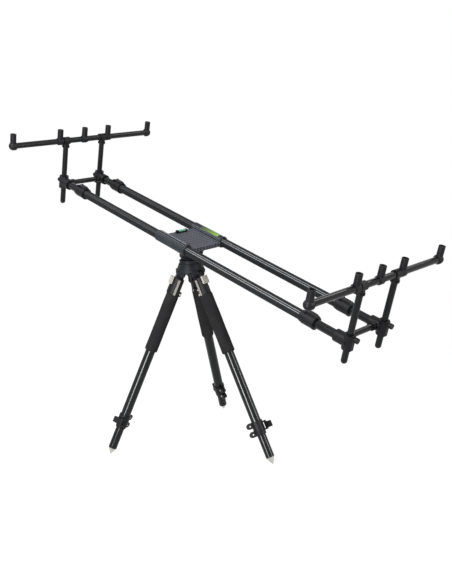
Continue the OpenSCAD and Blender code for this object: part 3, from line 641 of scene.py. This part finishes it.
@dataclass
class Leg(SubAssembly):
    """A tripod leg: its direction, foam sleeve, pale flat bars that are a painted highlight, lug and clamp
    screws, in millimetres and degrees.

    A box gives width, depth, height, corner radius and rim radius, and a head radius, height and rim radius.
    """

    name: str
    azimuth: float
    spread: float
    hinge_r: float = 29.0
    hinge_z: float = 507.0
    tube_r: float = 14.0
    cap_r: float = 16.5
    foam_start: float = 62.0
    foam_len: float = 175.0
    foam_r: float = 18.5
    foam_gap: float = 0.05
    foam_low_rim: float = 3.6
    foam_high_rim: float = 2.2
    wave_heights: Pair = (0.14, 0.1)
    wave_lengths: Pair = (19.0, 11.0)
    # The pale flat bars below are a painted highlight
    flat_start: float = 17.0
    flat_lap: float = 0.5
    flat_size: Pair = (6.5, 2.6)
    flat_radii: Pair = (1.1, 0.5)
    lug_box: tuple[float, ...] = (9.0, 12.0, 13.0, 2.5, 1.2)
    lug_proud: float = 1.5
    lug_drop: float = 1.0
    lug_head: Triple = (3.2, 2.2, 1.0)
    lug_screw_proud: float = 2.5
    lug_screw_y: float = 5.8
    lug_screw_rise: float = 5.5
    clamp_turn: float = 44.0
    clamp_start: float = 440.0
    clamp_len: float = 40.0
    clamp_head: Triple = (2.2, 1.8, 0.8)
    clamp_nut: tuple[Pair, ...] = ((2.4, 0.0), (2.4, 1.6), (2.0, 2.0))
    lobe_half_w: float = 7.0
    lobe_screw_x: float = -20.0
    lobe_screw_inset: float = 8.0
    lobe_screw_sink: float = 0.1

    @property
    def body(self) -> str:
        """Name of the CAD body that the upper leg is."""
        return f"{self.name}_leg"

    def frame(self) -> Placement:
        """Gives the frame at the hinge.

        Returns:
            X out from the head, Y round it and Z up the leg.
        """
        a, s = math.radians(self.azimuth), math.radians(self.spread)
        out, up = np.array([math.cos(a), math.sin(a), 0]), np.array([0, 0, 1.0])
        axes = np.array([out * math.cos(s) + up * math.sin(s), [-math.sin(a), math.cos(a), 0],
                         -out * math.sin(s) + up * math.cos(s)])
        return Placement(out * self.hinge_r + up * self.hinge_z, axes)

    def dressed(self, finish: Finish) -> bpy.types.Material:
        """Gives a finish whose pattern runs up the leg."""
        frame = self.frame()
        return finish.material(triple(frame.axes[2]), frame.metres())

    def foam_sleeve(self) -> bpy.types.Object:
        """Builds the soft sleeve: a closed loop profile with round ends, turned about the leg.

        Two slow sine waves that run round and along the leg are added to its outer radius.

        Returns:
            The sleeve, in place of the CAD's plain one.
        """
        inner, outer = self.tube_r + self.foam_gap, self.foam_r
        low, high = -(self.foam_start + self.foam_len), -self.foam_start
        low_r, high_r = self.foam_low_rim, self.foam_high_rim
        turn = np.linspace(0, QUARTER, FOAM_RIM_STEPS)
        lower = np.stack([outer - low_r + low_r * np.sin(turn), low + low_r - low_r * np.cos(turn)], -1)
        rise = np.linspace(low + low_r, high - high_r, FOAM_ROWS + 2)[1:-1]
        side = np.stack([np.full(FOAM_ROWS, outer), rise], -1)
        upper = np.stack([outer - high_r + high_r * np.cos(turn), high - high_r + high_r * np.sin(turn)], -1)
        bore = np.array([[inner, high], [inner, low]])
        profile = np.concatenate([lower, side, upper, bore])
        angle = np.linspace(0, 2 * math.pi, FOAM_TURNS, endpoint=False)
        radius, h = profile[:, :1], profile[:, 1:]
        tall, small = self.wave_heights
        slow, quick = self.wave_lengths
        wave = tall * np.sin(2 * angle + h / slow + self.azimuth) + small * np.sin(3 * angle - h / quick)
        swell = np.where(radius > inner, wave - (tall + small), 0.0)
        sleeve = lathe(profile, FOAM_TURNS, wrap=True, swell=swell).placed(self.frame())
        piece = make_piece(f"{self.name}_foam_sleeve", sleeve, self.dressed(FOAM), self.body)
        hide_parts(f"{self.name}_foam_grip")
        return piece

    def flats(self) -> bpy.types.Object:
        """Builds the two pale flat bars that run down the sides of the leg's top to its foam, as a painted
        highlight.

        Returns:
            Both bars in one piece.
        """
        end = self.foam_start + self.flat_lap
        bar = rounded_box(*self.flat_size, end - self.flat_start, *self.flat_radii)
        bars = [bar.placed(self.frame().at(0, side * self.cap_r, -end)) for side in (-1, 1)]
        return make_piece(f"{self.name}_leg_highlight_flats", Shape.joined(bars), self.dressed(FLAT_HIGHLIGHT), self.body)

    def lug(self) -> bpy.types.Object:
        """Builds the small lug inside the leg above its foam.

        Returns:
            The lug.
        """
        frame = self.frame().at(-self.cap_r - self.lug_proud, 0, -self.foam_start - self.lug_drop)
        block = rounded_box(*self.lug_box).placed(frame)
        return make_piece(f"{self.name}_lug", block, NYLON.material(), self.body)

    def lug_screw(self) -> bpy.types.Object:
        """Builds the bright screw through the lug.

        Returns:
            Its two heads in one piece.
        """
        head = screw_head(*self.lug_head)
        x, z = -self.cap_r - self.lug_screw_proud, -self.foam_start + self.lug_screw_rise
        heads = [head.placed(self.frame().at(x, side * self.lug_screw_y, z).facing((0, side, 0)))
                 for side in (-1, 1)]
        return make_piece(f"{self.name}_lug_screw", Shape.joined(heads), ZINC.material(), self.body)

    def clamp_screws(self) -> bpy.types.Object:
        """Builds the two screws that draw the clamp's lobes together.

        Returns:
            Their heads and nuts in one piece.
        """
        frame = self.frame().turned(self.clamp_turn)
        head = screw_head(*self.clamp_head)
        nut = lathe(np.array(self.clamp_nut), NUT_SIDES)
        first, last = self.clamp_start, self.clamp_start + self.clamp_len
        y = self.lobe_half_w - self.lobe_screw_sink
        parts = [shape.placed(frame.at(self.lobe_screw_x, side * y, -stop).facing((0, side, 0)))
                 for stop in (first + self.lobe_screw_inset, last - self.lobe_screw_inset)
                 for side, shape in ((-1, nut), (1, head))]
        return make_piece(f"{self.name}_clamp_screws", Shape.joined(parts), ZINC.material(), self.body)

    def build(self) -> list[bpy.types.Object]:
        """Builds the leg's own pieces."""
        return [self.foam_sleeve(), self.flats(), self.lug(), self.lug_screw(), self.clamp_screws()]

    def finishes(self) -> dict[str, bpy.types.Material]:
        """Gives the leg's materials, whose patterns run along it.

        Returns:
            Materials by CAD node.
        """
        parts = {"leg_shoulder": NYLON, "leg_tube": TUBE, "leg_clamp": NYLON, "clamp_lever": NYLON,
                 "lower_leg": TUBE, "foot_spike": STEEL, "angle_tab": TAB, "foam_grip": FOAM}
        return {f"{self.name}_{part}": self.dressed(finish) for part, finish in parts.items()}


@dataclass
class Tilted(SubAssembly):
    """What the tilting head carries: its slope and the rails' places, in millimetres and degrees."""

    tilt: float = 16.8
    pivot_z: float = 562.6
    rail_lift: float = 45.0
    gauge: float = 135.0

    def frame(self) -> Placement:
        """Gives the frame midway between the rails.

        Returns:
            X forwards along them, Y to the far side and Z up from the plate.
        """
        t = math.radians(self.tilt)
        axes = np.array([[math.cos(t), 0, -math.sin(t)], [0, 1, 0], [math.sin(t), 0, math.cos(t)]])
        return Placement(np.array([0, 0, self.pivot_z]) + self.rail_lift * axes[2], axes)

    def rail_frame(self, side: Side) -> Placement:
        """Gives the same frame on a rail's axis."""
        return self.frame().at(0, side.value * self.gauge / 2, 0)

    def ways(self) -> tuple[Triple, Triple, Triple]:
        """Gives the directions forwards, across and up."""
        forward, across, up = (triple(axis) for axis in self.frame().axes)
        return forward, across, up


@dataclass
class Head(Tilted):
    """The crown, the turning and tilting head, their bolts and lock knobs."""

    def finishes(self) -> dict[str, bpy.types.Material]:
        """Gives the head's materials: powder-coated castings, blacked bolts and nylon knobs.

        Returns:
            Materials by CAD node.
        """
        _, across, _ = self.ways()
        castings = dict.fromkeys(("tripod_crown", "pan_head", "tilt_cradle"), CASTING.material())
        bolts = dict.fromkeys(("leg_pivot_bolts", "tilt_bolt"), BLACKED.material(across))
        knobs = dict.fromkeys(("pan_lock_knob", "tilt_lock_knob"), NYLON.material())
        return castings | bolts | knobs


@dataclass
class Platform(Tilted):
    """The tilted plate with its channels, level and trim, in millimetres and degrees.

    Angles round a channel start at the far side and go over the top. A box gives width, depth, height,
    corner radius and rim radius.
    """

    channel_len: float = 120.0
    channel_r: float = 15.5
    strip_ends: Pair = (-28.0, 43.0)
    strip_span: Pair = (52.0, 128.0)
    strip_sink: float = 0.1
    strip_proud: float = 0.35
    near_ridges: tuple[float, ...] = (64.0, 118.0)
    # The pale strip on the near channel's top ridge is a painted highlight
    highlight_ridges: tuple[float, ...] = (85.0,)
    far_ridges: tuple[float, ...] = (136.0, 152.0)
    ridge_half: float = 2.2
    highlight_half: float = 4.0
    ridge_sink: float = 0.2
    ridge_proud: float = 0.6
    ridge_stop: float = 5.0
    ring_back: float = 6.0
    ring_middle: Pair = (0.2, 3.0)
    ring_radii: Pair = (1.1, 2.4)
    lug_box: tuple[float, ...] = (9.0, 7.0, 4.0, 2.0, 1.2)
    lug_y: float = 4.0
    lug_sink: float = 0.8

    def strip(self, ends: Pair, span: Pair, sink: float, proud: float) -> Shape:
        """Makes a curved strip on a channel: a band of a ring, out over its face and back, carried along X.

        Args:
            ends: Rear and front end.
            span: First and last angle.
            sink: Depth of its underside in the channel.
            proud: Height of its face above the channel.

        Returns:
            The closed strip about the channel's axis.
        """
        a = np.radians(np.linspace(*span, STRIP_STEPS))
        arc = np.stack([np.cos(a), np.sin(a)], -1)
        band = np.concatenate([(self.channel_r + proud) * arc, (self.channel_r - sink) * arc[::-1]])
        x = np.broadcast_to(np.array(ends)[:, None, None], (2, len(band), 1))
        return stacked(np.concatenate([x, np.broadcast_to(band, (2, *band.shape))], axis=-1))

    def green_strip(self) -> bpy.types.Object:
        """Builds the plain green strip on top of the far channel.

        Returns:
            The strip.
        """
        frame = self.rail_frame(Side.FAR)
        strip = self.strip(self.strip_ends, self.strip_span, self.strip_sink, self.strip_proud)
        film = GREEN_FILM.material(triple(frame.axes[0]), frame.metres())
        return make_piece("green_strip", strip.placed(frame), film, "platform")

    def ridges(self, name: str, side: Side, angles: tuple[float, ...], half: float, finish: Finish,
               slot: str) -> bpy.types.Object:
        """Builds fine ridges along a channel.

        Args:
            name: The piece's name.
            side: The channel.
            angles: Where the ridges are.
            half: Half the angle that a ridge covers.
            finish: Their finish.
            slot: Not used.

        Returns:
            The ridges in one piece.
        """
        ends = (-self.channel_len / 2, self.channel_len / 2 - self.ridge_stop)
        strips = [self.strip(ends, (a - half, a + half), self.ridge_sink, self.ridge_proud) for a in angles]
        shape = Shape.joined(strips).placed(self.rail_frame(side))
        return make_piece(name, shape, finish.material(), "platform")

    def channel_ends(self) -> bpy.types.Object:
        """Builds the dark rings at the channels' front ends, and the small lug on the near one.

        A ring is an ellipse turned about the channel's axis.

        Returns:
            The rings and the lug in one piece.
        """
        turn = np.linspace(0, 2 * math.pi, RING_SECTION + 1)[:-1]
        middle = np.array(self.ring_middle) + [self.channel_r, 0]
        section = middle + np.array(self.ring_radii) * np.stack([np.cos(turn), np.sin(turn)], -1)
        ring = lathe(section, RING_TURNS, wrap=True)
        near, far = (self.rail_frame(side).at(self.channel_len / 2 - self.ring_back, 0, 0) for side in Side)
        lug = rounded_box(*self.lug_box).placed(near.at(0, self.lug_y, self.channel_r - self.lug_sink))
        rings = [ring.placed(frame.facing((1, 0, 0))) for frame in (near, far)]
        return make_piece("channel_end_rings", Shape.joined([*rings, lug]), BLACKED.material(), "platform")

    def build(self) -> list[bpy.types.Object]:
        """Builds the platform's trim; a pale strip on the near channel's top ridge is a painted highlight.

        Returns:
            The new pieces.
        """
        return [
            self.green_strip(),
            self.ridges("near_channel_ridges", Side.NEAR, self.near_ridges, self.ridge_half, RIDGE,
                        "cast_black"),
            # Painted highlight: a pale strip along the near channel's top ridge
            self.ridges("near_ridge_highlight", Side.NEAR, self.highlight_ridges, self.highlight_half, RIDGE_HIGHLIGHT,
                        "bright_steel"),
            self.ridges("far_channel_ridges", Side.FAR, self.far_ridges, self.ridge_half, RIDGE,
                        "cast_black"),
            self.channel_ends(),
        ]

    def finishes(self) -> dict[str, bpy.types.Material]:
        """Gives the platform's materials: hatched across the plate, and the level's tint.

        Returns:
            Materials by CAD node.
        """
        _, across, up = self.ways()
        return {"platform_plate": SLATE.material(up), "rail_channels": CHANNEL.material(),
                "level_holder": NYLON.material(), "level_vial": VIAL.material(across)}


@dataclass
class Rails(Tilted):
    """The two fluted rails with their collars and cam levers."""

    def finishes(self) -> dict[str, bpy.types.Material]:
        """Gives the rails' materials, each with its lines about the rail's own axis.

        Returns:
            Materials by CAD node.
        """
        forward, _, _ = self.ways()
        rails = {f"{side.name.lower()}_rail": RAIL.material(forward, self.rail_frame(side).metres())
                 for side in Side}
        levers = {f"{end.value}_{side.name.lower()}_lever": NYLON.material() for end in End for side in Side}
        return rails | levers | {"rail_collars": NYLON.material()}


@dataclass
class EndFrame(Tilted):
    """An end of the pod: extension tubes, tie bar, uprights and the bar with its sockets."""

    end: End = End.REAR

    def finishes(self) -> dict[str, bpy.types.Material]:
        """Gives the end's materials: tubes with lines along them, and nylon fittings.

        Returns:
            Materials by CAD node.
        """
        forward, across, up = self.ways()
        ways = {"extension_tubes": forward, "uprights": up, "bar": across, "tie_bar": across}
        tubes = {f"{self.end.value}_{part}": TUBE.material(way) for part, way in ways.items()}
        fittings = ("end_blocks", "bar_tees", "rod_sockets", "near_thumb_screw", "far_thumb_screw")
        return tubes | {f"{self.end.value}_{part}": NYLON.material() for part in fittings}


@dataclass(frozen=True)
class Lamp:
    """A soft rectangular lamp that faces the pod's middle, in metres.

    Attributes:
        name: The lamp's name.
        at: Its place.
        size: Width and height.
        watts: Its power.
        gloss_only: Whether it shows in reflections alone, as a strip of white card does.
        aim: The point that it faces.
    """

    name: str
    at: Triple
    size: Pair
    watts: float
    gloss_only: bool = False
    aim: Triple = (0.0, 0.0, 0.5)

    def build(self) -> None:
        """Builds the lamp."""
        data = bpy.data.lights.new(self.name, "AREA")
        data.shape = "RECTANGLE"
        data.size, data.size_y = self.size
        data.energy = self.watts
        lamp = bpy.data.objects.new(self.name, data)
        lamp.visible_diffuse = not self.gloss_only
        lamp.location = self.at
        lamp.rotation_euler = (Vector(self.aim) - Vector(self.at)).to_track_quat("-Z", "Y").to_euler()
        bpy.context.scene.collection.objects.link(lamp)


# The low strip and the right one draw the lines on the legs, and the others light the top, front and back
LAMPS = (
    Lamp("left_strip", (0.98, -2.73, 0.5), (0.7, 0.9), 106),
    Lamp("front_lamp", (0.9, -2.4, 2.8), (1.4, 1.0), 165),
    Lamp("right_strip", (2.7, 1.0, 1.3), (0.4, 2.2), 80, gloss_only=True),
    Lamp("top_lamp", (-1.0, -1.0, 2.8), (0.5, 1.6), 46),
    Lamp("back_lamp", (1.2, 2.1, 2.5), (1.0, 0.7), 15),
)


@dataclass
class Studio:
    """A pale floor, soft lamps and the camera at the photograph's place, in metres and degrees.

    The floor's own light takes over with distance from the pod, so it meets the surround without an edge.
    """

    camera_at: Triple = (1.6508, -1.4477, 0.9902)
    heading: float = 46.25
    dip: float = 13.99
    roll: float = -3.80
    focal_px: float = 791.98
    floor_r: float = 9.0
    floor_drop: float = 0.0005
    glow_from: Pair = (0.6, 1.5)
    glow_share: Pair = (0.85, 1.0)
    surround_light: float = 0.55

    def floor(self) -> None:
        """Builds a round floor that reads white and keeps a soft shadow."""
        angle = np.linspace(0, 2 * math.pi, FLOOR_SIDES, endpoint=False)
        rim = np.stack([self.floor_r * np.cos(angle), self.floor_r * np.sin(angle),
                        np.full(FLOOR_SIDES, -self.floor_drop)], -1)
        mesh = bpy.data.meshes.new("floor")
        mesh.from_pydata(rim.tolist(), [], [list(range(FLOOR_SIDES))])
        mesh.materials.append(self.floor_material())
        floor = bpy.data.objects.new("floor", mesh)
        bpy.context.scene.collection.objects.link(floor)

    def floor_material(self) -> bpy.types.Material:
        """Builds the floor's material: matt for light that falls on it, mostly white for rays that see it.

        Returns:
            The material.
        """
        material = bpy.data.materials.new("pale floor")
        material.use_nodes = True
        tree = material.node_tree
        tree.nodes.clear()
        matt = add_node(tree, "ShaderNodeBsdfDiffuse", {"Color": linear("#f4f4f4")})
        glow = add_node(tree, "ShaderNodeEmission", {"Color": linear("#ffffff"), "Strength": 1.0})
        place = add_node(tree, "ShaderNodeTexCoord")
        away = add_node(tree, "ShaderNodeVectorMath", {"operation": "LENGTH"}, {0: place.outputs["Object"]})
        own = add_node(tree, "ShaderNodeMapRange",
                       {"From Min": self.glow_from[0], "From Max": self.glow_from[1],
                        "To Min": self.glow_share[0], "To Max": self.glow_share[1]},
                       {"Value": away.outputs["Value"]})
        share = add_node(tree, "ShaderNodeMath", {"operation": "MULTIPLY"},
                         {0: self.seen_rays(tree), 1: own.outputs["Result"]})
        mixed = add_node(tree, "ShaderNodeMixShader",
                         links={0: share.outputs["Value"], 1: matt.outputs["BSDF"], 2: glow.outputs["Emission"]})
        add_node(tree, "ShaderNodeOutputMaterial", links={"Surface": mixed.outputs["Shader"]})
        return material

    @staticmethod
    def seen_rays(tree: bpy.types.NodeTree) -> bpy.types.NodeSocket:
        """Adds nodes that tell rays that see the background from rays that gather its light.

        Args:
            tree: The floor's or world's node tree.

        Returns:
            1 for rays that the eye, gloss or glass sends, and otherwise 0.
        """
        path = add_node(tree, "ShaderNodeLightPath")
        first = add_node(tree, "ShaderNodeMath", {"operation": "MAXIMUM"},
                         {0: path.outputs["Is Camera Ray"], 1: path.outputs["Is Glossy Ray"]})
        return add_node(tree, "ShaderNodeMath", {"operation": "MAXIMUM"},
                        {0: first.outputs["Value"], 1: path.outputs["Is Transmission Ray"]}).outputs["Value"]

    def world(self) -> None:
        """Builds a white surround that lights the object at a plain level."""
        world = bpy.data.worlds.new("studio")
        bpy.context.scene.world = world
        world.use_nodes = True
        tree = world.node_tree
        tree.nodes.clear()
        light, white = (add_node(tree, "ShaderNodeBackground",
                                 {"Color": linear("#ffffff"), "Strength": strength}).outputs["Background"]
                        for strength in (self.surround_light, 1.0))
        mixed = add_node(tree, "ShaderNodeMixShader", links={0: self.seen_rays(tree), 1: light, 2: white})
        add_node(tree, "ShaderNodeOutputWorld", links={"Surface": mixed.outputs["Shader"]})

    def camera(self) -> None:
        """Builds the camera from its heading, dip and roll."""
        a, e, r = (math.radians(v) for v in (self.heading, self.dip, self.roll))
        ahead = Vector((-math.sin(a) * math.cos(e), math.cos(a) * math.cos(e), -math.sin(e)))
        right = Vector((math.cos(a), math.sin(a), 0))
        up = right.cross(ahead)
        right, up = right * math.cos(r) + up * math.sin(r), up * math.cos(r) - right * math.sin(r)
        data = bpy.data.cameras.new("camera")
        data.sensor_width = SENSOR_MM
        data.lens = self.focal_px * SENSOR_MM / PHOTO_LONG_SIDE_PX
        camera = bpy.data.objects.new("camera", data)
        turn = Matrix((right, up, -ahead)).transposed().to_4x4()
        camera.matrix_world = Matrix.Translation(Vector(self.camera_at)) @ turn
        bpy.context.scene.collection.objects.link(camera)
        bpy.context.scene.camera = camera

    def build(self) -> None:
        """Builds the whole studio."""
        bpy.context.scene.view_settings.view_transform = "Standard"
        self.floor()
        self.world()
        for lamp in LAMPS:
            lamp.build()
        self.camera()


def main() -> None:
    """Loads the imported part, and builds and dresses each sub-assembly."""
    logging.basicConfig(level=logging.INFO, format="%(message)s")
    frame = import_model()
    parts = [Leg("back", azimuth=120.0, spread=21.4), Leg("left", azimuth=240.0, spread=26.3),
             Leg("right", azimuth=0.0, spread=26.3), Head(), Platform(), Rails(),
             EndFrame(end=End.REAR), EndFrame(end=End.FRONT)]
    for part in parts:
        for piece in part.build():
            LOG.info("%s: %d faces", piece.name, len(piece.data.polygons))
        for name, material in part.dress(frame["nodes"]).items():
            LOG.info("%s: %s", name, material.name)
    Studio().build()


if __name__ == "__main__":
    main()
